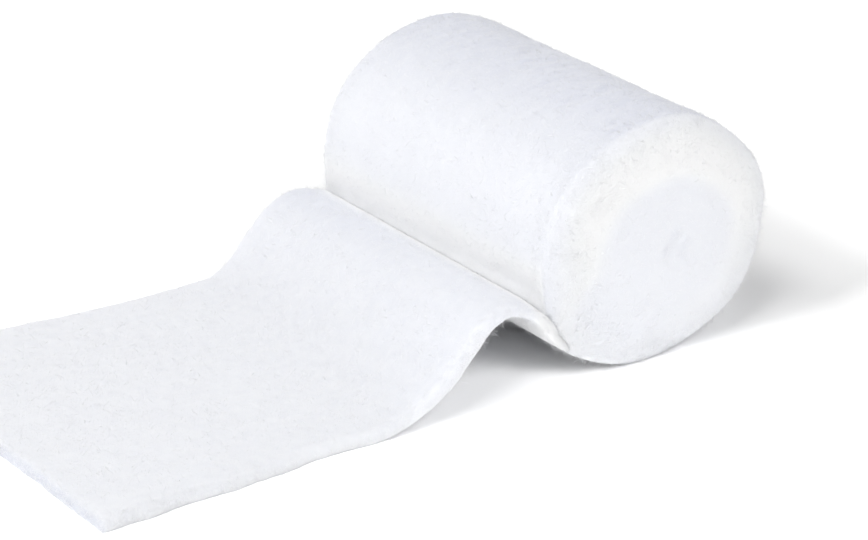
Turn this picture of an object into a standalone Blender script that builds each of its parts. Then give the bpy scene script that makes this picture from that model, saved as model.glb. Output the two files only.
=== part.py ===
"""Padding bandage roll with its loose end run out, as one set of solids in metres.

The roll lies along Y with its near end at -Y. Its outer turn leaves it from underneath towards -X,
rises against its side into a hump, comes down and lies on the surface as the loose end.
The origin is on the surface, under the middle of the roll.
"""
from collections import namedtuple
from math import cos, pi, radians, sin

import bmesh
import bpy
from mathutils import Vector

MM = 0.001

# Driving sizes of the bandage
BANDAGE_WIDTH = 100 * MM
CLEARANCE = 0.35 * MM

# The roll, a little wider than it is high because it is soft
AXIS_HEIGHT = 30.0 * MM
NEAR_HALF_WIDTH = 34.0 * MM
NEAR_HALF_HEIGHT = 31.0 * MM
FAR_HALF_WIDTH = 35.4 * MM
FAR_HALF_HEIGHT = 32.2 * MM
END_PROUD = 1.5 * MM
END_CROWN = 0.8 * MM
CENTRE_DIMPLE = 0.7 * MM
DIMPLE_REACH = 0.22
RIM_ALONG = 4.0 * MM
RIM_INWARD = 6.5 * MM

# The uneven outline of the near end, which fades along the roll
LOBES = 6
LOBE_PEAK_ANGLE = radians(250)
LOBE_DEPTH_NEAR = 0.4 * MM
LOBE_DEPTH_FAR = 0.1 * MM

# The step where the outer turn parts from the roll, by angle from straight down towards -X
STEP_ANGLE = radians(17)
STEP_SLANT = radians(2)
STEP_END_ANGLE = radians(62)
STEP_DEPTH = 1.6 * MM
STEP_FADE_AT_RIM = 1.5

# How finely the roll is cut up
ROLL_STEPS = 96
SIDE_RINGS = 9
RIM_RINGS = 5
END_RINGS = (0.86, 0.66, 0.44, 0.22, 0.12)

# The loose end where it still hugs the roll, pressed thin under it and thicker as it comes free
HUG_START_ANGLE = STEP_ANGLE + STEP_SLANT + radians(0.6)
HUG_END_ANGLE = radians(61)
HUG_STEPS = 12
THICK_UNDER_ROLL = 1.25 * MM
THICK_COMING_FREE = 3.2 * MM

# The loose end past the roll, in mm: its middle line at the near and the far edge, its thickness,
# and how far each edge runs out past half the bandage's width
FreeRow = namedtuple("FreeRow", "place near_x near_z far_x far_z thick near_out far_out")
FREE = (
    FreeRow("leaving the roll", -34.4, 17.7, -35.5, 17.2, 3.5, 0.0, 0.0),
    FreeRow("rising", -38.4, 21.5, -38.7, 19.4, 3.7, 0.0, 0.0),
    FreeRow("crest", -44.3, 23.3, -43.0, 19.9, 3.6, 0.0, 0.0),
    FreeRow("over the crest", -50.2, 21.5, -48.2, 18.7, 3.4, 0.0, 0.0),
    FreeRow("falling", -55.4, 16.6, -53.4, 15.5, 3.3, 0.0, 0.0),
    FreeRow("steepest", -60.6, 11.0, -58.6, 10.2, 3.2, 0.0, 0.0),
    FreeRow("foot", -66.8, 6.2, -63.8, 5.0, 3.1, -0.2, -0.4),
    FreeRow("touching down", -74.0, 3.0, -69.6, 2.2, 3.0, -0.4, -1.0),
    FreeRow("on the surface", -82.0, 1.6, -77.0, 1.5, 3.0, -0.5, -1.4),
    FreeRow("narrowest", -93.0, 1.5, -89.0, 1.5, 3.0, -1.4, -1.8),
    FreeRow("widening", -106.0, 1.45, -102.0, 1.45, 2.9, -0.2, -1.8),
    FreeRow("level", -118.0, 1.45, -116.0, 1.45, 2.9, 0.5, -0.6),
    FreeRow("near edge draws in", -129.0, 1.45, -131.0, 1.45, 2.9, 0.1, 0.8),
    FreeRow("before the cut", -140.0, 1.4, -146.0, 1.4, 2.8, 1.0, 1.2),
    FreeRow("cut end", -149.9, 1.3, -158.5, 1.3, 2.6, 0.8, 1.0),
)

# How finely the loose end is cut up, and its soft edge: distance in, share of full thickness
STEPS_PER_ROW = 3
INNER_COLUMNS = 9
EdgeRow = namedtuple("EdgeRow", "inset share")
EDGE = (
    EdgeRow(inset=0.0, share=0.34),
    EdgeRow(inset=0.5, share=0.72),
    EdgeRow(inset=1.6, share=0.93),
    EdgeRow(inset=4.0, share=1.0),
)
EDGE_DROP = 0.5
LYING_FLAT = 0.04 * MM

PADDING_COLOUR = (0.90, 0.90, 0.92, 1.0)
PADDING_ROUGHNESS = 0.95


def clear_scene():
    for thing in list(bpy.data.objects):
        bpy.data.objects.remove(thing, do_unlink=True)


def ease(share):
    """A smooth rise from 0 to 1."""
    share = min(max(share, 0.0), 1.0)
    return share * share * (3 - 2 * share)


def mix(low, high, share):
    return low + (high - low) * share


def lies_along(y):
    """How far y is along the bandage's width, 0 at the near edge and 1 at the far edge."""
    return (y + BANDAGE_WIDTH / 2) / BANDAGE_WIDTH


def padding_material(name):
    material = bpy.data.materials.new(name)
    material.use_nodes = True
    shader = material.node_tree.nodes["Principled BSDF"]
    shader.inputs["Base Color"].default_value = PADDING_COLOUR
    shader.inputs["Roughness"].default_value = PADDING_ROUGHNESS
    shader.inputs["Metallic"].default_value = 0.0
    return material


def step_depth(angle):
    """How far the roll stays back under the outer turn that has parted from it."""
    past_step = (angle - STEP_ANGLE) / (STEP_END_ANGLE - STEP_ANGLE)
    return STEP_DEPTH * (1 - ease(past_step))


def roll_surface(angle, y, shrink=0.0):
    """A point on the roll's side, for an angle from straight down towards -X."""
    share = lies_along(y)
    lobe_depth = mix(LOBE_DEPTH_NEAR, LOBE_DEPTH_FAR, share)
    lobe = lobe_depth * cos(LOBES * (angle - LOBE_PEAK_ANGLE)) - shrink
    half_width = mix(NEAR_HALF_WIDTH, FAR_HALF_WIDTH, share) + lobe
    half_height = mix(NEAR_HALF_HEIGHT, FAR_HALF_HEIGHT, share) + lobe
    x = -half_width * sin(angle)
    z = max(AXIS_HEIGHT - half_height * cos(angle), 0.0)
    back = step_depth(angle) * max(1 - STEP_FADE_AT_RIM * shrink / RIM_INWARD, 0.0)
    return Vector((x + back * sin(angle), y, z + back * cos(angle)))


def roll_ring(y, shrink=0.0):
    """One ring round the roll, from just inside the step all the way to its outer lip."""
    first = STEP_ANGLE + STEP_SLANT
    last = STEP_ANGLE + 2 * pi
    return [roll_surface(mix(first, last, step / ROLL_STEPS), y, shrink)
            for step in range(ROLL_STEPS + 1)]


def end_ring(rim_ring, reach, outward):
    """A ring on the end face, at a share of the rim's own radius."""
    crown = END_CROWN * (1 - reach * reach)
    dimple = CENTRE_DIMPLE * (1 - ease(reach / DIMPLE_REACH))
    rise = outward * (crown - dimple)
    ring = []
    for point in rim_ring:
        x = point.x * reach
        z = AXIS_HEIGHT + (point.z - AXIS_HEIGHT) * reach
        ring.append(Vector((x, point.y + rise, z)))
    return ring


def roll_rings():
    """All rings of the roll, from the middle of the near face to the middle of the far face."""
    end_y = BANDAGE_WIDTH / 2 + END_PROUD
    rim = []
    for step in range(RIM_RINGS):
        angle = pi / 2 * step / RIM_RINGS
        y = end_y - RIM_ALONG * (1 - cos(angle))
        rim.append((y, RIM_INWARD * (1 - sin(angle))))
    side_end = end_y - RIM_ALONG
    rings = [roll_ring(-y, shrink) for y, shrink in rim]
    for step in range(SIDE_RINGS):
        rings.append(roll_ring(mix(-side_end, side_end, step / (SIDE_RINGS - 1))))
    rings += [roll_ring(y, shrink) for y, shrink in reversed(rim)]
    near_face = [end_ring(rings[0], reach, -1) for reach in reversed(END_RINGS)]
    far_face = [end_ring(rings[-1], reach, 1) for reach in END_RINGS]
    return near_face + rings + far_face


def bridge(mesh, first, second):
    """Quads between two closed rings of vertices."""
    count = len(first)
    for index in range(count):
        after = (index + 1) % count
        mesh.faces.new((first[index], first[after], second[after], second[index]))


def finish_object(mesh, name, sharp_angle):
    bmesh.ops.recalc_face_normals(mesh, faces=mesh.faces)
    data = bpy.data.meshes.new(name)
    mesh.to_mesh(data)
    mesh.free()
    data.shade_smooth()
    data.set_sharp_from_angle(angle=sharp_angle)
    data.materials.append(padding_material(name + "_padding"))
    solid = bpy.data.objects.new(name, data)
    bpy.context.scene.collection.objects.link(solid)
    return solid


def build_roll():
    mesh = bmesh.new()
    rings = [[mesh.verts.new(point) for point in ring] for ring in roll_rings()]
    for first, second in zip(rings, rings[1:]):
        bridge(mesh, first, second)
    for ring in (rings[0], rings[-1]):
        middle = mesh.verts.new(sum((vert.co for vert in ring), Vector()) / len(ring))
        for index, vert in enumerate(ring):
            mesh.faces.new((vert, ring[(index + 1) % len(ring)], middle))
    return finish_object(mesh, "roll", radians(40))


def hugging_thickness(step):
    return mix(THICK_UNDER_ROLL, THICK_COMING_FREE, (step / HUG_STEPS) ** 1.5)


def hugging_point(step, share):
    """A point on the middle line where the loose end still hugs the roll."""
    angle = mix(HUG_START_ANGLE, HUG_END_ANGLE, step / HUG_STEPS)
    y = mix(-BANDAGE_WIDTH / 2, BANDAGE_WIDTH / 2, share)
    outward = Vector((-sin(angle), 0.0, -cos(angle)))
    return roll_surface(angle, y) + outward * (CLEARANCE + hugging_thickness(step) / 2)


def free_point(row, share):
    """A point on the middle line where the loose end is clear of the roll."""
    near_y = -BANDAGE_WIDTH / 2 - row.near_out * MM
    far_y = BANDAGE_WIDTH / 2 + row.far_out * MM
    x = mix(row.near_x, row.far_x, share) * MM
    z = mix(row.near_z, row.far_z, share) * MM
    return Vector((x, mix(near_y, far_y, share), z))


def smooth_between(points, index, share):
    """The place and thickness between a row and the next, on one smooth curve through the rows."""
    start = points[index]
    end = points[index + 1]
    before = points[index - 1]
    after = points[min(index + 2, len(points) - 1)]
    length = (end - start).length
    slope_in = (end - before) * length / ((end - start).length + (start - before).length)
    slope_out = (after - start) * length / ((after - end).length + length)
    squared = share * share
    cubed = squared * share
    return (start * (2 * cubed - 3 * squared + 1) + slope_in * (cubed - 2 * squared + share)
            + end * (3 * squared - 2 * cubed) + slope_out * (cubed - squared))


def loose_end_line(share):
    """The loose end's middle line at one place across its width, with its thickness, as 4 numbers."""
    rows = []
    for step in range(HUG_STEPS + 1):
        rows.append(hugging_point(step, share).to_4d())
        rows[-1].w = hugging_thickness(step)
    line = rows[:HUG_STEPS]
    for row in FREE:
        rows.append(free_point(row, share).to_4d())
        rows[-1].w = row.thick * MM
    for index in range(HUG_STEPS, len(rows) - 1):
        for step in range(STEPS_PER_ROW):
            line.append(smooth_between(rows, index, step / STEPS_PER_ROW))
    return line + [rows[-1]]


def loose_end_columns():
    """Places across the width as (share of the width, share of the full thickness)."""
    edge_shares = [(row.inset * MM / BANDAGE_WIDTH, row.share) for row in EDGE]
    inner_start = edge_shares[-1][0]
    columns = list(edge_shares)
    for step in range(1, INNER_COLUMNS + 1):
        share = mix(inner_start, 1 - inner_start, step / (INNER_COLUMNS + 1))
        columns.append((share, 1.0))
    columns += [(1 - share, thickness) for share, thickness in reversed(edge_shares)]
    return columns


def loose_end_faces(share, thickness_share):
    """The under and upper lines of the loose end at one place across its width."""
    line = loose_end_line(share)
    under = []
    upper = []
    last = len(line) - 1
    for index, place in enumerate(line):
        run = line[min(index + 1, last)] - line[max(index - 1, 0)]
        up = Vector((run.z, 0.0, -run.x)).normalized()
        half = up * place.w / 2
        kept = half * thickness_share
        drop = (half - kept) * EDGE_DROP
        under_point = place.to_3d() - kept - drop
        if under_point.z < LYING_FLAT:
            under_point.z = 0.0
        under.append(under_point)
        upper.append(place.to_3d() + kept - drop)
    return under, upper


def build_loose_end():
    mesh = bmesh.new()
    loops = []
    sides = [loose_end_faces(share, thickness) for share, thickness in loose_end_columns()]
    for index in range(len(sides[0][0])):
        under = [mesh.verts.new(lines[0][index]) for lines in sides]
        upper = [mesh.verts.new(lines[1][index]) for lines in reversed(sides)]
        loops.append(under + upper)
    for first, second in zip(loops, loops[1:]):
        bridge(mesh, first, second)
    count = len(sides)
    for loop in (loops[0], loops[-1]):
        for index in range(count - 1):
            opposite = 2 * count - 1 - index
            mesh.faces.new((loop[index], loop[index + 1], loop[opposite - 1], loop[opposite]))
    return finish_object(mesh, "loose_end", radians(50))


clear_scene()
build_roll()
build_loose_end()
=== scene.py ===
"""The looks of the padding bandage roll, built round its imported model. Metres, +Z up.

The roll lies along Y with its near end at -Y, and its loose end runs out towards -X. Both are finer
meshes on the lines of their solids, with soft relief, creases and loose fibres.
Angles round the roll run from straight down towards -X, so 90 degrees is its left and 180 its top.
"""
from collections import namedtuple
from itertools import product
from math import cos, pi, radians, sin

import bpy
import numpy as np
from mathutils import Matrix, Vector


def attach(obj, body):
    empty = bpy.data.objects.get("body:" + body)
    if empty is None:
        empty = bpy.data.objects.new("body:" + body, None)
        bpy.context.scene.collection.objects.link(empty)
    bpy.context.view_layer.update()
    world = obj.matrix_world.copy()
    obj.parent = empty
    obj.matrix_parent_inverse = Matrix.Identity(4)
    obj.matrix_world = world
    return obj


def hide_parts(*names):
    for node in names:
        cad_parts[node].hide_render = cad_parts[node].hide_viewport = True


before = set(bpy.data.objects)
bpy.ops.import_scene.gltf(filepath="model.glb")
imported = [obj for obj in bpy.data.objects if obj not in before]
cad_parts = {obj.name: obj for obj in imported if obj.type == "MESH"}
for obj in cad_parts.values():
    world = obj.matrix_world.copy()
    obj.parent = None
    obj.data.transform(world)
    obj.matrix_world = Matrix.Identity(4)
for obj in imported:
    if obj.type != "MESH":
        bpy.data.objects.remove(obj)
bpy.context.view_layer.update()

MM = 0.001

# Sizes shared with the solids; lobes are the roll's slight corners
BANDAGE_WIDTH = 100 * MM
CLEARANCE = 0.35 * MM
AXIS_HEIGHT = 30.0 * MM
NEAR_HALF_WIDTH = 34.0 * MM
NEAR_HALF_HEIGHT = 31.0 * MM
FAR_HALF_WIDTH = 35.4 * MM
FAR_HALF_HEIGHT = 32.2 * MM
END_PROUD = 1.5 * MM
END_CROWN = 0.8 * MM
CENTRE_DIMPLE = 0.7 * MM
DIMPLE_REACH = 0.22
LOBES = 6
LOBE_PEAK_ANGLE = radians(250)
LOBE_DEPTH_NEAR = 0.4 * MM
LOBE_DEPTH_FAR = 0.1 * MM
STEP_ANGLE = radians(17)
STEP_SLANT = radians(2)
STEP_END_ANGLE = radians(62)
STEP_DEPTH = 1.6 * MM
HUG_END_ANGLE = radians(61)
THICK_UNDER_ROLL = 1.25 * MM
THICK_COMING_FREE = 3.2 * MM

# The loose end past the roll, in mm, as its solid has it: its middle line at the near and the far
# edge, its thickness, and how far each edge runs out past half the bandage's width
FreeRow = namedtuple("FreeRow", "place near_x near_z far_x far_z thick near_out far_out")
FREE = (
    FreeRow("leaving the roll", -34.4, 17.7, -35.5, 17.2, 3.5, 0.0, 0.0),
    FreeRow("rising", -38.4, 21.5, -38.7, 19.4, 3.7, 0.0, 0.0),
    FreeRow("crest", -44.3, 23.3, -43.0, 19.9, 3.6, 0.0, 0.0),
    FreeRow("over the crest", -50.2, 21.5, -48.2, 18.7, 3.4, 0.0, 0.0),
    FreeRow("falling", -55.4, 16.6, -53.4, 15.5, 3.3, 0.0, 0.0),
    FreeRow("steepest", -60.6, 11.0, -58.6, 10.2, 3.2, 0.0, 0.0),
    FreeRow("foot", -66.8, 6.2, -63.8, 5.0, 3.1, -0.2, -0.4),
    FreeRow("touching down", -74.0, 3.0, -69.6, 2.2, 3.0, -0.4, -1.0),
    FreeRow("on the surface", -82.0, 1.6, -77.0, 1.5, 3.0, -0.5, -1.4),
    FreeRow("narrowest", -93.0, 1.5, -89.0, 1.5, 3.0, -1.4, -1.8),
    FreeRow("widening", -106.0, 1.45, -102.0, 1.45, 2.9, -0.2, -1.8),
    FreeRow("level", -118.0, 1.45, -116.0, 1.45, 2.9, 0.5, -0.6),
    FreeRow("near edge draws in", -129.0, 1.45, -131.0, 1.45, 2.9, 0.1, 0.8),
    FreeRow("before the cut", -140.0, 1.4, -146.0, 1.4, 2.8, 1.0, 1.2),
    FreeRow("cut end", -149.9, 1.3, -158.5, 1.3, 2.6, 0.8, 1.0),
)

# The roll's soft rims, rounder than its solid has them, and how soon the outer turn's step fades there
RIM_ALONG = 5.6 * MM
RIM_INWARD = 10.5 * MM
STEP_FADE_AT_RIM = 2.4

# Where the loose end stops being one with the outer turn, how far it tucks into it before that, and
# how far the roll reaches into its inner side until the two come apart
TUCKED_ANGLE = radians(40)
JOINED_ANGLE = radians(47)
APART_ANGLE = radians(56)
TUCKED_UNDER = 0.45 * MM
TUCKED_IN = 0.4 * MM
OVERLAP = 1.3 * MM
OVERLAP_END = (radians(59), radians(84))

# Where the roll's rims are squarer and further in, to run on from the loose end's edges, and how much
SQUARE_RISE = (radians(-25), radians(40))
SQUARE_FALL = (radians(60), radians(84))
SQUARER_INWARD = 0.88
SQUARER_ALONG = 0.72
SQUARE_BACK = 1.4 * MM

# How the strip thickens as it comes free of the roll, and how far its upper side then stands out, in
# mm, so that the hump and the roll meet where they should: over its width, and at its near edge, which
# leaves the roll lower down. The last value says how steeply this fades at the strip's rounded edges.
THICKENING_POWER = 1.2
SWELL = {"leaving the roll": 0.8, "rising": -0.7, "crest": -0.15}
SWELL_AT_EDGE = {"leaving the roll": 0.0, "rising": -0.8, "crest": -0.15}
SWELL_FADE = 12 * MM
SWELL_TO_EDGE = 1.5

# Soft lumps: how high, how far apart (both in mm) and which noise. The outer turn's ripples are drawn
# out round the roll and strongest on top, and the waves make the strip's edges uneven.
Lumps = namedtuple("Lumps", "height size seed")
ROLL_LUMPS = (Lumps(0.15, 14.0, 1), Lumps(0.07, 5.5, 2), Lumps(0.03, 1.9, 5))
ROLL_RIPPLES = (Lumps(0.12, 2.6, 3), Lumps(0.06, 1.4, 4))
END_LUMPS = (Lumps(0.08, 6.0, 6), Lumps(0.03, 2.4, 7))
LOOSE_LUMPS = (Lumps(0.17, 11.0, 31), Lumps(0.11, 4.2, 32), Lumps(0.06, 2.0, 33))
NEAR_EDGE_WAVES = (Lumps(0.28, 5.0, 21), Lumps(0.12, 1.8, 22))
FAR_EDGE_WAVES = (Lumps(0.28, 5.0, 23), Lumps(0.12, 1.8, 24))
CUT_WAVES = (Lumps(0.22, 6.0, 25), Lumps(0.12, 2.0, 26))
WAVE_REACH = 5 * MM
RIPPLE_SQUEEZE = 0.35
RIPPLES_ELSEWHERE = 0.25
RIPPLES_ON_TOP = 1.5

# Small dents round the middle of an end face, where the innermost turn is tucked in, in mm
Dent = namedtuple("Dent", "x z reach depth")
DENTS = (
    Dent(1.5, 32.5, 1.9, 0.55),
    Dent(4.6, 29.6, 1.6, 0.60),
    Dent(3.8, 26.6, 1.4, 0.45),
    Dent(-0.8, 28.4, 1.6, 0.30),
)

# Main creases of the outer turn: place round the roll and along it, half length and half width, depth,
# and how far it slants and bows along the roll over its length
Crease = namedtuple("Crease", "angle y half_length half_width depth slant bow")
CREASES = (
    Crease(176, -24.5, 15.0, 1.6, 0.30, -5.0, 1.0),
    Crease(162, -10.5, 8.0, 1.3, 0.25, -3.5, 0.6),
    Crease(160, -44.0, 6.5, 0.9, 0.28, -1.5, 0.4),
    Crease(180, 35.5, 5.0, 2.0, 0.40, 4.0, 0.0),
    Crease(178, 2.5, 7.0, 1.0, 0.26, -3.0, -0.8),
    Crease(187, 14.0, 8.0, 1.1, 0.24, -2.5, 0.6),
    Crease(171, 22.0, 6.0, 1.2, 0.20, -3.0, 0.5),
    Crease(190, -36.0, 8.0, 1.2, 0.26, -2.0, 0.5),
    Crease(196, -14.0, 9.0, 1.4, 0.30, -3.0, 0.0),
    Crease(204, 26.0, 10.0, 1.5, 0.28, -2.0, 0.8),
    Crease(222, -4.0, 12.0, 1.4, 0.30, 3.0, 0.6),
    Crease(240, 20.0, 9.0, 1.6, 0.28, -2.0, -0.6),
    Crease(246, -30.0, 11.0, 1.5, 0.30, 2.0, 0.5),
)

# Lightness, which is about 1, with light and shade painted into it: painted shade on the roll's top,
# in its creases and dents, on the crest and at the cut, and painted light low on the roll, at its rims,
# in the corner by the hump and along the strip's edges. Then how strong the mottling is on each part.
BASE_TONE = 0.95
TOP_ANGLE = radians(190)
TOP_REACH = radians(44)
TOP_PAINTED_SHADE = 0.20
CREASE_PAINTED_SHADE = 0.10 / MM
DENT_PAINTED_SHADE = 0.05 / MM
LIGHT_BELOW = radians(100)
LIGHT_OVER = radians(26)
LOW_PAINTED_LIGHT = 0.20
RIM_PAINTED_LIGHT = 0.065
RIM_LIGHT_MIDWAY = 1.4
RIM_LIGHT_FROM = 0.70
RIM_TONE_BLEND = 0.12
CREST_X = -43 * MM
CREST_REACH = 9 * MM
CREST_PAINTED_SHADE = 0.11
CREST_DARK_NEAR = 0.4
CORNER_X = -39.5 * MM
CORNER_BLEND = 5.5 * MM
CORNER_PAINTED_LIGHT = 0.17
EDGE_PAINTED_LIGHT = 0.03
EDGE_LIGHT_REACH = 3.5 * MM
CUT_PAINTED_SHADE = 0.20
CUT_DARK_REACH = 1.5 * MM
SIDE_MOTTLE = 0.45
TOP_MOTTLE = 1.7
END_MOTTLE = 0.35
LOOSE_MOTTLE = 1.0

# How finely the roll is cut up
ROLL_STEPS = 420
SIDE_RINGS = 144
RIM_RINGS = 18
RIM_BLEND = 0.6
FACE_RINGS = 26
FACE_CROWDING = 1.25
INNERMOST = 0.02

# How finely the loose end is cut up, and its soft edges
ROW_LENGTH = 0.6 * MM
HUG_ROWS = 24
COLUMNS = 130
EDGE_REACH = 2.2 * MM
EDGE_COLUMNS = 7
EDGE_BLUNT = 0.14
EDGE_DROP_HUGGING = -0.4
EDGE_DROP_FLAT = 0.9
EDGE_DROP_RUN = (8 * MM, 42 * MM)
EDGE_POWER_HUGGING = 0.3
LEAST_HEIGHT = 0.03 * MM

# How far along the loose end its lumps begin
FREE_FROM = 14 * MM
FREE_BLEND = 12 * MM

# Loose fibres, which lean between these lifts and bend back towards the surface. They crowd at the
# roll's rims and the strip's edges, and none grows where the strip lies on the floor.
FIBRES_A_PIECE = 19900
FIBRE_LENGTH = 1.9 * MM
FIBRE_RADIUS = 0.028 * MM
FIBRE_ROOT = 0.15 * MM
FIBRE_SPREAD = 0.35
LEAST_LIFT = radians(8)
MOST_LIFT = radians(62)
MEAN_BEND = radians(-22)
BEND_SPREAD = radians(28)
SWING_SPREAD = radians(40)
FIBRE_TAPER = 0.8
LEAST_THICK = 0.7
MOST_THICK = 1.2
RIM_CROWD = 3.0
RIM_CROWD_FROM = 0.6
RIM_CROWD_OVER = 0.2
EDGE_CROWD = 6.0
CLEAR_OF_FLOOR = 1.2 * MM
FIBRE_DARKEST = (0.92, 0.93, 0.96)
FIBRE_LIGHTEST = (0.97, 0.98, 1.0)
FIBRE_MOTTLE_SCALE = 900.0
FIBRE_GLOW = 0.2 * MM

# The padding's colours at the least and the most lightness, the darker one bluer, towards which both
# painted shade and the darker mottling go; its patterns with their scales per metre and how much each
# counts, its bump, how far light spreads in it, and the faint turns on the end faces
DARKEST = (0.67, 0.69, 0.775)
LIGHTEST = (0.985, 0.99, 1.0)
LEAST_TONE = 0.70
MOST_TONE = 1.15
BLOTCH_SCALE = 95.0
MOTTLE_SCALE = 380.0
STREAK_SCALE = 520.0
STREAK_SQUEEZE = 0.4
BLOTCH_PART = 0.25
MOTTLE_PART = 0.45
STREAK_PART = 0.30
GRAIN_MIDDLE = 0.5
MOTTLE_CONTRAST = 0.16
WEB_HEIGHT = 0.5
GRAIN_HEIGHT = 2.0
GRAIN_RANGE = (0.3, 0.7)
ROUGHNESS_RANGE = (1.0, 0.85)
BUMP_STRENGTH = 0.28
BUMP_DISTANCE = 0.2 * MM
SCATTER_REACH = 2.0 * MM
TURN_MIDDLE_X = 1.5 * MM
TURN_PITCH = 3.1 * MM
TURN_WOBBLE = 0.6
TURN_WOBBLE_SCALE = 130.0
TURN_RISE = 0.10

# Layers of long fibres: which way they run, how far apart their noise is along and across them, how
# wide they are drawn, and how far each layer is moved for its turn
FibreLayer = namedtuple("FibreLayer", "turn along across width")
FIBRE_LAYERS = (
    FibreLayer(turn=0.25, along=9.0 * MM, across=0.55 * MM, width=0.055),
    FibreLayer(turn=-0.45, along=8.0 * MM, across=0.65 * MM, width=0.06),
    FibreLayer(turn=1.05, along=7.0 * MM, across=0.6 * MM, width=0.05),
    FibreLayer(turn=-1.25, along=6.0 * MM, across=0.75 * MM, width=0.05),
)
LAYER_SHIFT = (3.1, 1.7, 1.0)

# Each material's constant inputs
PADDING_SHADER = {
    "Specular IOR Level": 0.15,
    "Sheen Weight": 0.15,
    "Sheen Roughness": 0.6,
    "Subsurface Weight": 1.0,
    "Subsurface Radius": (1.0, 1.0, 1.0),
    "Subsurface Scale": SCATTER_REACH,
}
FIBRE_SHADER = {
    "Roughness": 0.8,
    "Specular IOR Level": 0.1,
    "Subsurface Weight": 1.0,
    "Subsurface Radius": (1.0, 1.0, 1.0),
    "Subsurface Scale": FIBRE_GLOW,
}
FLOOR_SHADER = {
    "Base Color": (1.0, 1.0, 1.0, 1.0),
    "Roughness": 1.0,
    "Specular IOR Level": 0.0,
}

# Soft round lamps: height above the floor, turn from -Y towards -X, and power. One set lights the
# floor alone and one the bandage alone, as a product photographer flags lamps off either.
Lamp = namedtuple("Lamp", "name height turn power")
FLOOR_LAMPS = (
    Lamp("floor_left", 35, 90, 130),
    Lamp("floor_front", 35, 0, 40),
    Lamp("floor_high_front", 45, 0, 62),
    Lamp("floor_high", 55, 60, 58),
    Lamp("floor_back", 45, 120, 38),
)
FLOOR_LAMP_SIZE = 1.4
FLOOR_LAMP_REACH = 4.0
CLOTH_LAMPS = (
    Lamp("front_left", 50, 60, 6.1),
    Lamp("left", 35, 90, 3.8),
    Lamp("back_left", 35, 135, 3.8),
    Lamp("front", 35, 0, 3.1),
    Lamp("top_front", 75, 0, 3.6),
    Lamp("front_right", 35, 315, 1.9),
    Lamp("right", 35, 270, 2.6),
    Lamp("back_right", 35, 225, 2.0),
    Lamp("low_back", 10, 180, 3.5),
)
CLOTH_LAMP_SIZE = 1.0
CLOTH_LAMP_REACH = 1.3

# Half the floor's width
FLOOR_HALF = 4.0

# The camera, fitted to the photo's outlines: its focal length in pixels of the photo's width, its
# place and its direction
PHOTO_WIDTH = 868
FOCAL_PIXELS = 2200
SENSOR_WIDTH = 36
CAMERA_PLACE = (-0.3152, -0.42004, 0.23323)
CAMERA_DIRECTION = (0.5124, 0.7605, -0.3988)
NEAREST_SEEN = 0.01
FARTHEST_SEEN = 100


def ease(share):
    """A smooth rise from 0 to 1."""
    share = np.clip(share, 0.0, 1.0)
    return share * share * (3 - 2 * share)


def mix(low, high, share):
    """A value between two others."""
    return low + (high - low) * share


def unit(vectors):
    """The same vectors at a length of 1."""
    return vectors / np.maximum(np.linalg.norm(vectors, axis=-1, keepdims=True), 1e-12)


def lattice_value(cell, seed):
    """A repeatable number from 0 to 1 for each whole-number cell."""
    value = cell[..., 0] * 73856093 ^ cell[..., 1] * 19349663 ^ cell[..., 2] * 83492791
    value = (value ^ seed * 2654435761) & 0xFFFFFFFF
    value = ((value >> 15) ^ value) * 0x2C1B3C6D & 0xFFFFFFFF
    value = ((value >> 12) ^ value) * 0x297A2D39 & 0xFFFFFFFF
    return ((value >> 15) ^ value) % 65521 / 65520


def soft_noise(points, size, seed):
    """Smooth lumps from -1 to 1, about size apart, at points in metres."""
    place = points / size
    cell = np.floor(place).astype(np.int64)
    share = ease(place - cell)
    total = np.zeros(points.shape[:-1])
    for corner in product((0, 1), repeat=3):
        weight = np.prod(np.where(corner, share, 1 - share), axis=-1)
        total += weight * lattice_value(cell + corner, seed)
    return 2 * total - 1


def lumps(points, layers):
    """How far layers of soft lumps stand out, in metres."""
    return MM * sum(layer.height * soft_noise(points, layer.size * MM, layer.seed) for layer in layers)


def lies_along(y):
    """How far y is along the bandage's width, 0 at the near edge and 1 at the far edge."""
    return (y + BANDAGE_WIDTH / 2) / BANDAGE_WIDTH


def step_depth(angle):
    """How far the roll stays back under the outer turn that has parted from it."""
    past_step = (angle - STEP_ANGLE) / (STEP_END_ANGLE - STEP_ANGLE)
    return STEP_DEPTH * (1 - ease(past_step))


def joined_share(angle):
    """How much the loose end is still one with the outer turn, from 1 near the seam to 0."""
    return 1 - ease((angle - JOINED_ANGLE) / (APART_ANGLE - JOINED_ANGLE))


def loose_thickness(angle):
    """The loose end's thickness where it hugs the roll."""
    along = (angle - STEP_ANGLE - STEP_SLANT) / (HUG_END_ANGLE - STEP_ANGLE - STEP_SLANT)
    return mix(THICK_UNDER_ROLL, THICK_COMING_FREE, np.clip(along, 0, 1) ** THICKENING_POWER)


def roll_surface(angle, y, shrink, with_loose_end=False):
    """Points on the roll's side, for angles from straight down towards -X."""
    share = lies_along(y)
    lobe_depth = mix(LOBE_DEPTH_NEAR, LOBE_DEPTH_FAR, share)
    lobe = lobe_depth * np.cos(LOBES * (angle - LOBE_PEAK_ANGLE)) - shrink
    half_width = mix(NEAR_HALF_WIDTH, FAR_HALF_WIDTH, share) + lobe
    half_height = mix(NEAR_HALF_HEIGHT, FAR_HALF_HEIGHT, share) + lobe
    x = -half_width * np.sin(angle)
    z = np.maximum(AXIS_HEIGHT - half_height * np.cos(angle), 0.0)
    back = step_depth(angle) * np.maximum(1 - STEP_FADE_AT_RIM * shrink / RIM_INWARD, 0.0)
    if with_loose_end:
        held = 1 - ease((angle - OVERLAP_END[0]) / (OVERLAP_END[1] - OVERLAP_END[0]))
        outer = step_depth(angle) - CLEARANCE - loose_thickness(angle)
        back = mix(back - OVERLAP * held, outer, joined_share(angle))
    x = x + back * np.sin(angle)
    z = z + back * np.cos(angle)
    return np.stack(np.broadcast_arrays(x, y, z), axis=-1)


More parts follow.
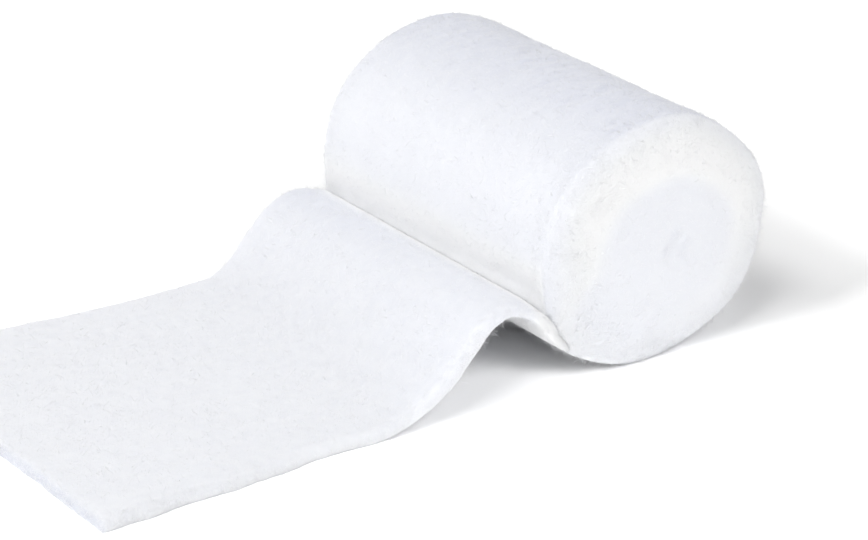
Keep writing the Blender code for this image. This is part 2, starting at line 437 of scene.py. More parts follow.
def new_piece(name, points, face_groups):
    """A smooth mesh object from points and arrays of faces, one row for each face."""
    mesh = bpy.data.meshes.new(name)
    faces = [face for group in face_groups for face in group.tolist()]
    mesh.from_pydata(points, [], faces)
    mesh.shade_smooth()
    piece = bpy.data.objects.new(name, mesh)
    bpy.context.scene.collection.objects.link(piece)
    return piece


def set_map(piece, name, corner_places):
    """A UV map from a place for each face corner."""
    layer = piece.data.uv_layers.new(name=name)
    layer.uv.foreach_set("vector", corner_places.astype(np.float32).ravel())


def set_share(piece, name, shares):
    """A number at each point, for the material to read."""
    attribute = piece.data.attributes.new(name, "FLOAT", "POINT")
    attribute.data.foreach_set("value", shares.astype(np.float32).ravel())


def corners_of(piece):
    """The vertex at each face corner."""
    corners = np.zeros(len(piece.data.loops), np.int32)
    piece.data.loops.foreach_get("vertex_index", corners)
    return corners


def points_of(piece):
    """A piece's vertices, a row for each."""
    points = np.zeros(len(piece.data.vertices) * 3, np.float32)
    piece.data.vertices.foreach_get("co", points)
    return points.reshape(-1, 3).astype(float)


def normals_of(piece):
    """The normals at a piece's vertices."""
    normals = np.zeros(len(piece.data.vertices) * 3, np.float32)
    piece.data.vertex_normals.foreach_get("vector", normals)
    return normals.reshape(-1, 3).astype(float)


def move_points(piece, points):
    """Moves a piece's vertices, none of them below the floor."""
    points[:, 2] = np.maximum(points[:, 2], LEAST_HEIGHT)
    piece.data.vertices.foreach_set("co", points.astype(np.float32).ravel())
    piece.data.update()


def ring_faces(ring_count, step_count):
    """Quads between neighbouring closed rings, and the ring and step of each of their corners."""
    ring, step = np.meshgrid(np.arange(ring_count - 1), np.arange(step_count), indexing="ij")
    rings = np.stack([ring, ring, ring + 1, ring + 1], axis=-1).reshape(-1, 4)
    steps = np.stack([step, step + 1, step + 1, step], axis=-1).reshape(-1, 4)
    return rings * step_count + steps % step_count, rings, steps


# Roll

def roll_profile():
    """The roll's rings from near to far: y, shrink, reach from the middle, end face share and rim share."""
    end_y = BANDAGE_WIDTH / 2 + END_PROUD
    side_end = end_y - RIM_ALONG
    turn = np.linspace(0, pi / 2, RIM_RINGS, endpoint=False)
    rim_y = end_y - RIM_ALONG * (1 - np.cos(turn))
    rim_shrink = RIM_INWARD * (1 - np.sin(turn))
    rim_share = ease(np.cos(turn) / RIM_BLEND)
    on_rim = 1 - ease(2 * turn / pi)
    side_y = np.linspace(-side_end, side_end, SIDE_RINGS)
    side = np.zeros(SIDE_RINGS)
    face = np.ones(FACE_RINGS)
    whole = np.ones(2 * RIM_RINGS + SIDE_RINGS)
    reach = mix(INNERMOST, 1.0, np.linspace(0, 1, FACE_RINGS, endpoint=False) ** FACE_CROWDING)
    inward = RIM_INWARD * face
    near_reach = ease((reach - RIM_LIGHT_FROM) / (1 - RIM_LIGHT_FROM))
    y = np.concatenate([-end_y * face, -rim_y, side_y, rim_y[::-1], end_y * face])
    shrink = np.concatenate([inward, rim_shrink, side, rim_shrink[::-1], inward])
    reach = np.concatenate([reach, whole, reach[::-1]])
    end_share = np.concatenate([face, rim_share, side, rim_share[::-1], face])
    rim = np.concatenate([near_reach, on_rim, side, on_rim[::-1], near_reach[::-1]])
    return y, shrink, reach, end_share, rim


def rim_squareness(angle):
    """How far the rims follow the loose end's square edges, from 0 to 1."""
    turned = (angle + pi) % (2 * pi) - pi
    rise = ease((turned - SQUARE_RISE[0]) / (SQUARE_RISE[1] - SQUARE_RISE[0]))
    fall = ease((turned - SQUARE_FALL[0]) / (SQUARE_FALL[1] - SQUARE_FALL[0]))
    return rise * (1 - fall)


def with_square_rims(angle, y, shrink, reach):
    """The places along the roll and the shrink, with the rims made squarer where they should be."""
    squareness = rim_squareness(angle)
    side_end = BANDAGE_WIDTH / 2 + END_PROUD - RIM_ALONG
    rim_length = RIM_ALONG * (1 - SQUARER_ALONG * squareness)
    new_end = BANDAGE_WIDTH / 2 + END_PROUD - SQUARE_BACK * squareness * reach ** 3
    on_side = np.minimum(np.abs(y), side_end) / side_end
    past_side = np.maximum(np.abs(y) - side_end, 0) / RIM_ALONG
    from_middle = mix((new_end - rim_length) * on_side, new_end, past_side)
    return np.sign(y) * from_middle, shrink * (1 - SQUARER_INWARD * squareness)


def roll_points(angle, y, shrink, reach):
    """The roll's smooth surface, a row of points for each ring."""
    reach = reach[:, None]
    y_there, shrink_there = with_square_rims(angle[None, :], y[:, None], shrink[:, None], reach)
    points = roll_surface(angle[None, :], y_there, shrink_there, with_loose_end=True)
    crown = END_CROWN * (1 - reach * reach)
    dimple = CENTRE_DIMPLE * (1 - ease(reach / DIMPLE_REACH))
    points[..., 0] *= reach
    points[..., 2] = AXIS_HEIGHT + (points[..., 2] - AXIS_HEIGHT) * reach
    points[..., 1] += np.where(reach < 1, np.sign(y)[:, None] * (crown - dimple), 0.0)
    return points


def build_roll():
    """The wound roll, one closed surface with a step where its outer turn parts from it."""
    y, shrink, reach, end_share, rim = roll_profile()
    rings = len(y)
    angle = np.linspace(STEP_ANGLE + STEP_SLANT, STEP_ANGLE + 2 * pi, ROLL_STEPS)
    points = roll_points(angle, y, shrink, reach)
    middles = np.stack([points[0].mean(axis=0), points[-1].mean(axis=0)])
    quads, quad_rings, quad_steps = ring_faces(rings, ROLL_STEPS)
    step = np.arange(ROLL_STEPS)
    after = (step + 1) % ROLL_STEPS
    near_middle = np.full(ROLL_STEPS, rings * ROLL_STEPS)
    last_ring = (rings - 1) * ROLL_STEPS
    near_fan = np.stack([near_middle, after, step], axis=1)
    far_fan = np.stack([last_ring + step, last_ring + after, near_middle + 1], axis=1)
    roll = new_piece("roll_padding", np.vstack([points.reshape(-1, 3), middles]),
                     (quads, near_fan, far_fan))

    placed = points_of(roll)
    end_share = np.append(np.repeat(end_share, ROLL_STEPS), [1, 1])
    around = np.append(np.tile(angle, rings), [0, 0])
    rim = np.append(np.repeat(rim, ROLL_STEPS), [0, 0])
    tone_with_painted_shading, mottle = roll_tone_with_painted_shading(placed, around, end_share, rim)
    rise = roll_relief(placed, around, end_share, rim)
    move_points(roll, placed + normals_of(roll) * rise[:, None])

    over = np.linalg.norm(np.diff(points[:, ROLL_STEPS // 2], axis=0), axis=1)
    over = np.append(0, np.cumsum(over))
    unwound = np.append(angle, 2 * angle[-1] - angle[-2]) * NEAR_HALF_WIDTH
    cloth = np.stack([unwound[quad_steps], over[quad_rings]], axis=-1).reshape(-1, 2)
    fan_corners = near_fan.size + far_fan.size
    set_map(roll, "cloth", np.vstack([cloth, np.zeros((fan_corners, 2))]))
    set_map(roll, "face", placed[corners_of(roll)][:, [0, 2]])
    set_share(roll, "end_share", end_share)
    set_share(roll, "tone_with_painted_shading", tone_with_painted_shading)
    set_share(roll, "mottle", mottle)
    return roll


def dent_depth(points):
    """How deep the dents are; the far end has the same ones, turned half way round."""
    side = np.where(points[:, 1] < 0, 1.0, -1.0)
    depth = np.zeros(len(points))
    for dent in DENTS:
        x = side * points[:, 0] / MM - dent.x
        z = side * (points[:, 2] - AXIS_HEIGHT) / MM - (dent.z - AXIS_HEIGHT / MM)
        depth += dent.depth * MM * np.exp(-(x * x + z * z) / dent.reach ** 2)
    return depth


def crease_depth(angle, y):
    """How deep the creases are at each point of the roll's side."""
    depth = np.zeros(angle.shape)
    for crease in CREASES:
        along = (angle - radians(crease.angle)) * NEAR_HALF_WIDTH / (crease.half_length * MM)
        middle = (crease.y + crease.slant * along / 2 + crease.bow * along * along) * MM
        across = (y - middle) / (crease.half_width * MM)
        fade = 1 - ease(np.abs(along))
        depth += crease.depth * MM * fade * np.exp(-across * across)
    return depth


def roll_relief(points, angle, end_share, rim):
    """How far each point of the roll stands out, from soft lumps and creases."""
    wound = np.stack([angle * NEAR_HALF_WIDTH * RIPPLE_SQUEEZE, points[:, 1], 0 * angle], axis=1)
    rippled = (1 - end_share) * (1 - rim) * mix(RIPPLES_ELSEWHERE, RIPPLES_ON_TOP, top_share(angle))
    side = rippled * lumps(wound, ROLL_RIPPLES) - (1 - end_share) * crease_depth(angle, points[:, 1])
    end = end_share * (lumps(points, END_LUMPS) - dent_depth(points))
    return lumps(points, ROLL_LUMPS) + side + end


def top_share(angle):
    """How near an angle is to the roll's top, where handling has creased it most and where shade is painted
    on it.
    """
    return np.exp(-((angle - TOP_ANGLE) / TOP_REACH) ** 2)


def roll_tone_with_painted_shading(points, angle, end_share, rim):
    """How light the roll is, with shade painted on its top, creases and dents and light painted low down
    and on its rims, which are lightest at the top; and how strong its mottling is.
    """
    side = (1 - end_share) * (1 - ease(rim / RIM_TONE_BLEND))
    top = top_share(angle) * side
    creases = crease_depth(angle, points[:, 1]) * side
    dents = dent_depth(points) * end_share
    # Painted shade on the top, in the creases and in the dents
    tone_with_painted_shading = BASE_TONE - TOP_PAINTED_SHADE * top - CREASE_PAINTED_SHADE * creases - DENT_PAINTED_SHADE * dents
    low = ease((LIGHT_BELOW - angle) / LIGHT_OVER) * side * (angle < 2 * LIGHT_BELOW)
    mottle = mix(SIDE_MOTTLE, TOP_MOTTLE, top) * side + END_MOTTLE * end_share
    # Painted light low on the roll by the hump, and on its rims, most at the top
    return tone_with_painted_shading + LOW_PAINTED_LIGHT * low + RIM_PAINTED_LIGHT * rim * (RIM_LIGHT_MIDWAY - np.cos(angle)), mottle


# Loose end

def hugging_row(angle, share):
    """Middle line, thickness and swell where the loose end hugs the roll, for places across it."""
    joined = joined_share(angle)
    half_width = BANDAGE_WIDTH / 2 - TUCKED_IN * joined ** 2
    thick = loose_thickness(angle)
    surface = roll_surface(angle, mix(-half_width, half_width, share), np.zeros_like(share))
    outward = np.array([-sin(angle), 0.0, -cos(angle)])
    middle = surface + outward * (CLEARANCE + thick / 2 - TUCKED_UNDER * joined)
    return np.column_stack([middle, np.full(len(share), thick), np.zeros(len(share))])


def free_row(row, share):
    """Middle line, thickness and swell of a row past the roll, for places across it."""
    near_y = -BANDAGE_WIDTH / 2 - row.near_out * MM
    far_y = BANDAGE_WIDTH / 2 + row.far_out * MM
    x = mix(row.near_x, row.far_x, share) * MM
    y = mix(near_y, far_y, share)
    z = mix(row.near_z, row.far_z, share) * MM
    whole = np.ones(len(share)) * MM
    from_edge = ease(share * BANDAGE_WIDTH / SWELL_FADE)
    swell = mix(SWELL_AT_EDGE.get(row.place, 0.0), SWELL.get(row.place, 0.0), from_edge)
    return np.column_stack([x, y, z, row.thick * whole, swell * whole])


def row_gap(first, second):
    """How far each point of one row is from the next row's."""
    return np.linalg.norm(second - first, axis=1, keepdims=True)


def smooth_between(before, start, end, after, share):
    """Points between two rows, on one smooth curve through four of them."""
    length = row_gap(start, end)
    slope_in = (end - before) * length / (length + row_gap(before, start))
    slope_out = (after - start) * length / (row_gap(end, after) + length)
    squared = share * share
    cubed = squared * share
    return (start * (2 * cubed - 3 * squared + 1) + slope_in * (cubed - 2 * squared + share)
            + end * (3 * squared - 2 * cubed) + slope_out * (cubed - squared))


def middle_lines(share):
    """Close rows of the loose end's middle surface, each point with its thickness and swell."""
    angles = np.linspace(TUCKED_ANGLE, HUG_END_ANGLE, HUG_ROWS + 1)
    hugging = [hugging_row(angle, share) for angle in angles]
    rows = hugging[-2:] + [free_row(row, share) for row in FREE]
    rows.append(rows[-1])
    lines = hugging[:-1]
    for before, start, end, after in zip(rows, rows[1:], rows[2:], rows[3:]):
        steps = max(int(np.ceil(row_gap(start, end).mean() / ROW_LENGTH)), 2)
        lines += [smooth_between(before, start, end, after, step / steps) for step in range(steps)]
    return np.stack(lines + [rows[-1]])


def column_places():
    """Share of the width and share of full thickness for each column across the loose end."""
    turn = np.linspace(np.arcsin(EDGE_BLUNT), pi / 2, EDGE_COLUMNS)
    inset = EDGE_REACH * (np.cos(turn[0]) - np.cos(turn)) / BANDAGE_WIDTH
    inner = np.linspace(inset[-1], 1 - inset[-1], COLUMNS)
    share = np.concatenate([inset[:-1], inner, 1 - inset[-2::-1]])
    thickness = np.concatenate([np.sin(turn[:-1]), np.ones(COLUMNS), np.sin(turn[-2::-1])])
    return share, thickness


def ragged_edges(middle, along, to_cut, share):
    """Draws the edges and the cut in and out a little, as torn fibres leave them."""
    from_near = share * BANDAGE_WIDTH
    run_place = along[..., None] * np.array([1, 0, 0])
    cut_place = middle * np.array([0, 1, 0])
    near_wave = lumps(run_place, NEAR_EDGE_WAVES) * (1 - ease(from_near / WAVE_REACH))
    far_wave = lumps(run_place, FAR_EDGE_WAVES) * (1 - ease((BANDAGE_WIDTH - from_near) / WAVE_REACH))
    middle[..., 1] += near_wave + far_wave
    middle[..., 0] += lumps(cut_place, CUT_WAVES) * (1 - ease(to_cut / WAVE_REACH))


def loose_sides(lines, share, edge_thickness):
    """Points of the loose end's upper and under side, with how far each is along it and from the cut."""
    middle = lines[..., :3]
    thick = lines[..., 3:4]
    swell = lines[..., 4:]
    run = np.gradient(middle, axis=0)
    up = unit(np.stack([run[..., 2], np.zeros(run.shape[:2]), -run[..., 0]], axis=-1))
    gaps = np.linalg.norm(np.diff(middle, axis=0), axis=-1)
    along = np.concatenate([np.zeros((1, len(share))), np.cumsum(gaps, axis=0)])
    to_cut = along[-1] - along
    ragged_edges(middle, along, to_cut, share)

    near_cut = np.clip(to_cut / EDGE_REACH, EDGE_BLUNT ** 2, 1)
    to_flat = ease((along - EDGE_DROP_RUN[0]) / (EDGE_DROP_RUN[1] - EDGE_DROP_RUN[0]))
    edge_share = edge_thickness ** mix(EDGE_POWER_HUGGING, 1.0, to_flat)
    thickness_share = (edge_share * np.sqrt(1 - (1 - near_cut) ** 2))[..., None]
    half = up * thick / 2
    kept = half * thickness_share
    drop = (half - kept) * mix(EDGE_DROP_HUGGING, EDGE_DROP_FLAT, to_flat)[..., None]
    relief = lumps(middle, LOOSE_LUMPS) * ease((along - FREE_FROM) / FREE_BLEND)
    upper = middle + kept - drop
    upper += up * (swell + relief[..., None]) * np.minimum(thickness_share * SWELL_TO_EDGE, 1)
    under = middle - kept - drop
    return upper, under, along, to_cut


def loose_tone_with_painted_shading(section, from_near, to_cut):
    """How light the loose end is: painted shade on its crest and at its cut, and painted light in the
    corner by the roll and along its edges.
    """
    crest = np.exp(-((section[..., 0] - CREST_X) / CREST_REACH) ** 2)
    crest *= mix(CREST_DARK_NEAR, 1.0, ease(lies_along(section[..., 1])))
    corner = ease((section[..., 0] - CORNER_X) / CORNER_BLEND)
    from_edge = np.minimum(from_near, BANDAGE_WIDTH - from_near)
    edge = 1 - ease(np.append(from_edge, from_edge[::-1]) / EDGE_LIGHT_REACH)
    cut = 1 - ease(np.concatenate([to_cut, to_cut[:, ::-1]], axis=1) / CUT_DARK_REACH)
    # Painted shade on the crest and painted light in the corner by the roll
    tone_with_painted_shading = BASE_TONE - CREST_PAINTED_SHADE * crest + CORNER_PAINTED_LIGHT * corner
    # Painted light along the edges and painted shade at the cut
    return tone_with_painted_shading + EDGE_PAINTED_LIGHT * edge - CUT_PAINTED_SHADE * cut


def build_loose_end():
    """The strip's free end, one closed surface with an upper and an under side."""
    share, edge_thickness = column_places()
    upper, under, along, to_cut = loose_sides(middle_lines(share), share, edge_thickness)
    rows, columns = along.shape
    section = np.concatenate([upper, under[:, ::-1]], axis=1)
    section[..., 2] = np.maximum(section[..., 2], LEAST_HEIGHT)
    count = 2 * columns
    quads, _, _ = ring_faces(rows, count)
    column = np.arange(columns - 1)
    opposite = count - 1 - column
    start_cap = np.stack([column, opposite, opposite - 1, column + 1], axis=1)
    cut_cap = (rows - 1) * count + start_cap[:, ::-1]
    piece = new_piece("loose_end_padding", section.reshape(-1, 3), (quads, start_cap, cut_cap))
    from_near = share * BANDAGE_WIDTH
    over = np.broadcast_to(np.append(from_near, 2 * BANDAGE_WIDTH - from_near[::-1]), (rows, count))
    cloth = np.stack([np.concatenate([along, along[:, ::-1]], axis=1), over], axis=-1).reshape(-1, 2)
    set_map(piece, "cloth", cloth[corners_of(piece)])
    set_share(piece, "tone_with_painted_shading", loose_tone_with_painted_shading(section, from_near, to_cut))
    set_share(piece, "mottle", np.full(section.shape[:2], LOOSE_MOTTLE))
    return piece


# Loose fibres

def scattered(piece, chance, count, rng):
    """Random places on a piece with their normals, more of them where its points' chance is high."""
    mesh = piece.data
    mesh.calc_loop_triangles()
    triangles = np.zeros(len(mesh.loop_triangles) * 3, np.int32)
    mesh.loop_triangles.foreach_get("vertices", triangles)
    triangles = triangles.reshape(-1, 3)
    points = points_of(piece)[triangles]
    area = np.linalg.norm(np.cross(points[:, 1] - points[:, 0], points[:, 2] - points[:, 0]), axis=1)
    odds = area * chance[triangles].mean(axis=1)
    chosen = rng.choice(len(triangles), count, p=odds / odds.sum())
    share = rng.random((count, 2))
    share[share.sum(axis=1) > 1] = 1 - share[share.sum(axis=1) > 1]
    weights = np.column_stack([1 - share.sum(axis=1), share])[..., None]
    normals = normals_of(piece)[triangles[chosen]]
    return (points[chosen] * weights).sum(axis=1), unit((normals * weights).sum(axis=1))


def share_of(piece, name):
    """The numbers that set_share gave a piece's points."""
    shares = np.zeros(len(piece.data.vertices), np.float32)
    piece.data.attributes[name].data.foreach_get("value", shares)
    return shares.astype(float)


def near_rim(piece):
    """1 at the roll's rims and 0 away from them."""
    place = points_of(piece)
    from_rim = np.abs(np.abs(place[:, 1]) - (BANDAGE_WIDTH / 2 + END_PROUD - RIM_ALONG / 2))
    wide = np.hypot(place[:, 0] / NEAR_HALF_WIDTH, (place[:, 2] - AXIS_HEIGHT) / NEAR_HALF_HEIGHT)
    return (1 - ease(from_rim / (2 * RIM_ALONG))) * ease((wide - RIM_CROWD_FROM) / RIM_CROWD_OVER)


def near_edge(piece):
    """1 at the loose end's long edges and its cut end, and 0 away from them."""
    place = points_of(piece)
    long_edge = 1 - ease((BANDAGE_WIDTH / 2 - np.abs(place[:, 1])) / EDGE_REACH)
    cut_x = mix(FREE[-1].near_x, FREE[-1].far_x, lies_along(place[:, 1])) * MM
    return np.maximum(long_edge, 1 - ease((place[:, 0] - cut_x) / EDGE_REACH))


def above_floor(piece):
    """0 where a side lies on the floor, and 1 elsewhere."""
    return ease(points_of(piece)[:, 2] / CLEAR_OF_FLOOR)


def fibre_ring(centre, direction, normals, radius):
    """Three points round a fibre."""
    first = unit(np.cross(direction, normals))
    second = np.cross(direction, first)
    turns = [2 * pi * step / 3 for step in range(3)]
    return [centre + radius * (cos(turn) * first + sin(turn) * second) for turn in turns]


def add_fibres(name, carrier, chance, seed):
    """Short bent fibres that stand out of a piece's surface, joined into one piece."""
    rng = np.random.default_rng(seed)
    count = FIBRES_A_PIECE
    roots, normals = scattered(carrier, chance, count, rng)
    forward = unit(np.cross(normals, rng.normal(size=(count, 3))))
    sideways = np.cross(normals, forward)
    half_length = (FIBRE_LENGTH / 2 * rng.lognormal(0, FIBRE_SPREAD, count))[:, None]
    lift = mix(LEAST_LIFT, MOST_LIFT, rng.random((count, 1)) ** 2)
    bend = lift + rng.normal(MEAN_BEND, BEND_SPREAD, (count, 1))
    swing = rng.normal(0, SWING_SPREAD, (count, 1))
    first = np.cos(lift) * forward + np.sin(lift) * normals
    second = np.cos(bend) * (np.cos(swing) * forward + np.sin(swing) * sideways)
    second += np.sin(bend) * normals
    root = roots - FIBRE_ROOT * normals
    knee = root + first * half_length
    tip = knee + second * half_length
    thick = (FIBRE_RADIUS * rng.uniform(LEAST_THICK, MOST_THICK, count))[:, None]
    root_ring = fibre_ring(root, first, normals, thick)
    knee_ring = fibre_ring(knee, first, normals, thick * FIBRE_TAPER)
    points = np.stack(root_ring + knee_ring + [tip], axis=1)
    points[..., 2] = np.maximum(points[..., 2], LEAST_HEIGHT)
    start = points.shape[1] * np.arange(count)[:, None, None]
    quads = start + np.array([[0, 1, 4, 3], [1, 2, 5, 4], [2, 0, 3, 5]])
    triangles = start + np.array([[3, 4, 6], [4, 5, 6], [5, 3, 6], [2, 1, 0]])
    return new_piece(name, points.reshape(-1, 3), (quads.reshape(-1, 4), triangles.reshape(-1, 3)))


# Materials

def link(tree, source, target):
    """Joins two sockets."""
    tree.links.new(source, target)


def set_inputs(node, settings):
    """Sets a node's constant inputs by their names."""
    for name, value in settings.items():
        node.inputs[name].default_value = value


def noise_node(tree, place, scale, detail=2.0, roughness=0.5, distortion=0.0):
    """Noise at each place."""
    node = tree.nodes.new("ShaderNodeTexNoise")
    set_inputs(node, {"Scale": scale, "Detail": detail, "Roughness": roughness, "Distortion": distortion})
    link(tree, place, node.inputs["Vector"])
    return node.outputs["Fac"]


def math_node(tree, operation, first, second=None):
    """Arithmetic on sockets or plain numbers."""
    node = tree.nodes.new("ShaderNodeMath")
    node.operation = operation
    for socket, value in zip(node.inputs, (first, second)):
        if value is None:
            continue
        if isinstance(value, (int, float)):
            socket.default_value = value
        else:
            link(tree, value, socket)
    return node.outputs["Value"]


def total_node(tree, first, *others):
    """The sum of several sockets."""
    total = first
    for other in others:
        total = math_node(tree, "ADD", total, other)
    return total


def range_node(tree, value, low, high, to_low, to_high, smooth=True):
    """A value moved from one range to another."""
    node = tree.nodes.new("ShaderNodeMapRange")
    node.interpolation_type = "SMOOTHSTEP" if smooth else "LINEAR"
    set_inputs(node, {"From Min": low, "From Max": high, "To Min": to_low, "To Max": to_high})
    link(tree, value, node.inputs["Value"])
    return node.outputs["Result"]


def fibre_layer(tree, place, layer):
    """Long wavy fibres: the level lines of noise that is stretched one way."""
    mapping = tree.nodes.new("ShaderNodeMapping")
    mapping.inputs["Rotation"].default_value = (0.0, 0.0, layer.turn)
    mapping.inputs["Location"].default_value = [layer.turn * shift for shift in LAYER_SHIFT]
    link(tree, place, mapping.inputs["Vector"])
    squeeze = tree.nodes.new("ShaderNodeMapping")
    squeeze.inputs["Scale"].default_value = (1 / layer.along, 1 / layer.across, 1.0)
    link(tree, mapping.outputs["Vector"], squeeze.inputs["Vector"])
    value = noise_node(tree, squeeze.outputs["Vector"], 1.0, detail=1.0, distortion=0.25)
    off = math_node(tree, "ABSOLUTE", math_node(tree, "SUBTRACT", value, 0.5))
    return range_node(tree, off, 0.0, layer.width, 1.0, 0.0)


def fibre_web(tree, place):
    """How many fibres cross each place, seldom more than 2."""
    lines = [fibre_layer(tree, place, layer) for layer in FIBRE_LAYERS]
    return total_node(tree, *lines)


def attribute_node(tree, name):
    """A number that set_share gave each point."""
    node = tree.nodes.new("ShaderNodeAttribute")
    node.attribute_name = name
    return node.outputs["Fac"]


def map_node(tree, name):
    """The place on a UV map."""
    node = tree.nodes.new("ShaderNodeUVMap")
    node.uv_map = name
    return node.outputs["UV"]


def ramp_node(tree, level, dark, light, dark_at=0.0, light_at=1.0):
    """A colour between two others, for a level from 0 to 1."""
    node = tree.nodes.new("ShaderNodeValToRGB")
    for element, colour, place in zip(node.color_ramp.elements, (dark, light), (dark_at, light_at)):
        element.position = place
        element.color = (*colour, 1)
    link(tree, level, node.inputs["Fac"])
    return node.outputs["Color"]


def mix_node(tree, share, first, second):
    """One value giving way to another."""
    node = tree.nodes.new("ShaderNodeMix")
    link(tree, share, node.inputs["Factor"])
    link(tree, first, node.inputs["A"])
    link(tree, second, node.inputs["B"])
    return node.outputs["Result"]


def wound_turns(tree, place):
    """A faint spiral on an end face, which rises and falls about 0.5 with each turn of the cloth."""
    parts = tree.nodes.new("ShaderNodeSeparateXYZ")
    link(tree, place, parts.inputs["Vector"])
    x = math_node(tree, "SUBTRACT", parts.outputs["X"], TURN_MIDDLE_X)
    z = math_node(tree, "SUBTRACT", parts.outputs["Y"], AXIS_HEIGHT)
    squares = total_node(tree, math_node(tree, "MULTIPLY", x, x), math_node(tree, "MULTIPLY", z, z))
    turns = math_node(tree, "DIVIDE", math_node(tree, "SQRT", squares), TURN_PITCH)
    around = math_node(tree, "DIVIDE", math_node(tree, "ARCTAN2", z, x), 2 * pi)
    wobble = math_node(tree, "MULTIPLY", noise_node(tree, place, TURN_WOBBLE_SCALE), TURN_WOBBLE)
    phase = math_node(tree, "ADD", math_node(tree, "SUBTRACT", turns, around), wobble)
    wave = math_node(tree, "COSINE", math_node(tree, "MULTIPLY", phase, 2 * pi))
    return range_node(tree, wave, -1.0, 1.0, 0.5 - TURN_RISE, 0.5 + TURN_RISE)


def new_material(name, settings):
    """A material with its constant inputs set, its node tree and its shader."""
    material = bpy.data.materials.new(name)
    material.use_nodes = True
    shader = material.node_tree.nodes["Principled BSDF"]
    set_inputs(shader, settings)
    return material, material.node_tree, shader


def cloth_patterns(tree, has_ends):
    """The web of fibres and the streaks, which on an end face give way to its own web and its turns."""
    cloth = map_node(tree, "cloth")
    web = fibre_web(tree, cloth)
    stretch = tree.nodes.new("ShaderNodeMapping")
    stretch.inputs["Scale"].default_value = (STREAK_SQUEEZE, 1.0, 1.0)
    link(tree, cloth, stretch.inputs["Vector"])
    streaks = noise_node(tree, stretch.outputs["Vector"], STREAK_SCALE, detail=2.0, roughness=0.6)
    if has_ends:
        face = map_node(tree, "face")
        share = attribute_node(tree, "end_share")
        web = mix_node(tree, share, web, fibre_web(tree, face))
        streaks = mix_node(tree, share, streaks, wound_turns(tree, face))
    return web, streaks


def padding_material(name, has_ends):
    """White padding, its base colour set by its points' painted light and shade and mottled as their mottle
    says, with a bumped web of fibres.
    """
    material, tree, shader = new_material(name, PADDING_SHADER)
    solid = tree.nodes.new("ShaderNodeTexCoord").outputs["Object"]
    web, streaks = cloth_patterns(tree, has_ends)
    mottle = noise_node(tree, solid, MOTTLE_SCALE, detail=2.0, roughness=0.6)
    blotches = noise_node(tree, solid, BLOTCH_SCALE, detail=3.0, roughness=0.55)
    parts = ((blotches, BLOTCH_PART), (mottle, MOTTLE_PART), (streaks, STREAK_PART))
    grain = total_node(tree, *[math_node(tree, "MULTIPLY", pattern, part) for pattern, part in parts])
    off = math_node(tree, "SUBTRACT", grain, GRAIN_MIDDLE)
    strength = math_node(tree, "MULTIPLY", attribute_node(tree, "mottle"), MOTTLE_CONTRAST)
    # The base colour's level: the mottling plus the painted light and shade each point carries
    level = total_node(tree, math_node(tree, "MULTIPLY", off, strength), attribute_node(tree, "tone_with_painted_shading"))
    light = range_node(tree, level, LEAST_TONE, MOST_TONE, 0.0, 1.0, smooth=False)
    link(tree, ramp_node(tree, light, DARKEST, LIGHTEST), shader.inputs["Base Color"])
    link(tree, range_node(tree, grain, *GRAIN_RANGE, *ROUGHNESS_RANGE), shader.inputs["Roughness"])
    height = total_node(tree, math_node(tree, "MULTIPLY", web, WEB_HEIGHT),
                        math_node(tree, "MULTIPLY", grain, GRAIN_HEIGHT))
    bump = tree.nodes.new("ShaderNodeBump")
    set_inputs(bump, {"Strength": BUMP_STRENGTH, "Distance": BUMP_DISTANCE})
    link(tree, height, bump.inputs["Height"])
    link(tree, bump.outputs["Normal"], shader.inputs["Normal"])
    return material


def fibre_material():
    """Single white fibres, a little lighter and darker along their length."""
    material, tree, shader = new_material("loose_fibres", FIBRE_SHADER)
    solid = tree.nodes.new("ShaderNodeTexCoord").outputs["Object"]
    patches = noise_node(tree, solid, FIBRE_MOTTLE_SCALE, detail=1.0)
    colour = ramp_node(tree, patches, FIBRE_DARKEST, FIBRE_LIGHTEST, dark_at=0.35, light_at=0.65)
    link(tree, colour, shader.inputs["Base Color"])
    return material


# Stage

def aim(thing, place, target):
    """Puts a lamp or camera in its place, pointing at a target."""
    thing.location = place
    thing.rotation_mode = "QUATERNION"
    thing.rotation_quaternion = (Vector(target) - Vector(place)).to_track_quat("-Z", "Y")


def add_lamps(lamps, size, reach, name, lit):
    """Soft round lamps that point at the roll and light only what they are given."""
    receivers = bpy.data.collections.new(name)
    for thing in lit:
        receivers.objects.link(thing)
    for lamp in lamps:
        data = bpy.data.lights.new(lamp.name, "AREA")
        data.shape = "DISK"
        data.size = size
        data.energy = lamp.power
        light = bpy.data.objects.new(lamp.name, data)
        light.light_linking.receiver_collection = receivers
        bpy.context.scene.collection.objects.link(light)
        height = radians(lamp.height)
        turn = radians(lamp.turn)
        place = Vector((-sin(turn) * cos(height), -cos(turn) * cos(height), sin(height))) * reach
        aim(light, place, (0, 0, 0))


def add_floor():
    """A plain pale floor."""
    corners = np.array([(-1, -1, 0), (1, -1, 0), (1, 1, 0), (-1, 1, 0)]) * FLOOR_HALF
    floor = new_piece("floor", corners, (np.array([[0, 1, 2, 3]]),))
    material, _, _ = new_material("pale_floor", FLOOR_SHADER)
    floor.data.materials.append(material)
    return floor


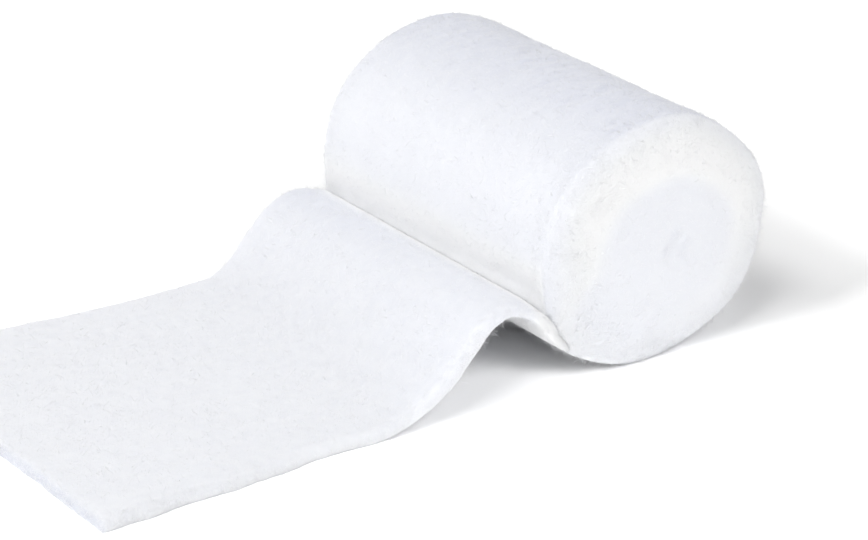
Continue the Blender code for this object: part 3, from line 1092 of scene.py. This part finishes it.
def add_world():
    """White behind everything, which lights nothing."""
    world = bpy.data.worlds.new("studio")
    bpy.context.scene.world = world
    world.use_nodes = True
    background = world.node_tree.nodes["Background"]
    background.inputs["Color"].default_value = (1, 1, 1, 1)
    seen = world.node_tree.nodes.new("ShaderNodeLightPath")
    link(world.node_tree, seen.outputs["Is Camera Ray"], background.inputs["Strength"])


def add_camera():
    """The camera, where the photo's was."""
    data = bpy.data.cameras.new("camera")
    data.sensor_width = SENSOR_WIDTH
    data.lens = SENSOR_WIDTH * FOCAL_PIXELS / PHOTO_WIDTH
    data.clip_start = NEAREST_SEEN
    data.clip_end = FARTHEST_SEEN
    camera = bpy.data.objects.new("camera", data)
    bpy.context.scene.collection.objects.link(camera)
    place = Vector(CAMERA_PLACE)
    aim(camera, place, place + Vector(CAMERA_DIRECTION))
    bpy.context.scene.camera = camera


add_camera()
floor = add_floor()
add_world()
bpy.context.scene.view_settings.view_transform = "Standard"

roll = build_roll()
loose = build_loose_end()
roll.data.materials.append(padding_material("wound_padding", has_ends=True))
loose.data.materials.append(padding_material("loose_padding", has_ends=False))

roll_end = share_of(roll, "end_share")
side_chance = (1 - roll_end) * (1 + RIM_CROWD * near_rim(roll))
end_chance = roll_end * (1 + RIM_CROWD * near_rim(roll))
loose_chance = above_floor(loose) * (1 + EDGE_CROWD * near_edge(loose))
fibres = fibre_material()
side_fibres = add_fibres("roll_side_fibres", roll, side_chance, seed=41)
end_fibres = add_fibres("roll_end_fibres", roll, end_chance, seed=42)
loose_fibres = add_fibres("loose_end_fibres", loose, loose_chance, seed=43)
for piece in (side_fibres, end_fibres, loose_fibres):
    piece.data.materials.append(fibres)

for piece in (roll, side_fibres, end_fibres):
    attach(piece, "root")
for piece in (loose, loose_fibres):
    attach(piece, "root")
add_lamps(FLOOR_LAMPS, FLOOR_LAMP_SIZE, FLOOR_LAMP_REACH, "lit_floor", [floor])
add_lamps(CLOTH_LAMPS, CLOTH_LAMP_SIZE, CLOTH_LAMP_REACH, "lit_cloth",
          [roll, loose, side_fibres, end_fibres, loose_fibres])

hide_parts("roll")
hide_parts("loose_end")
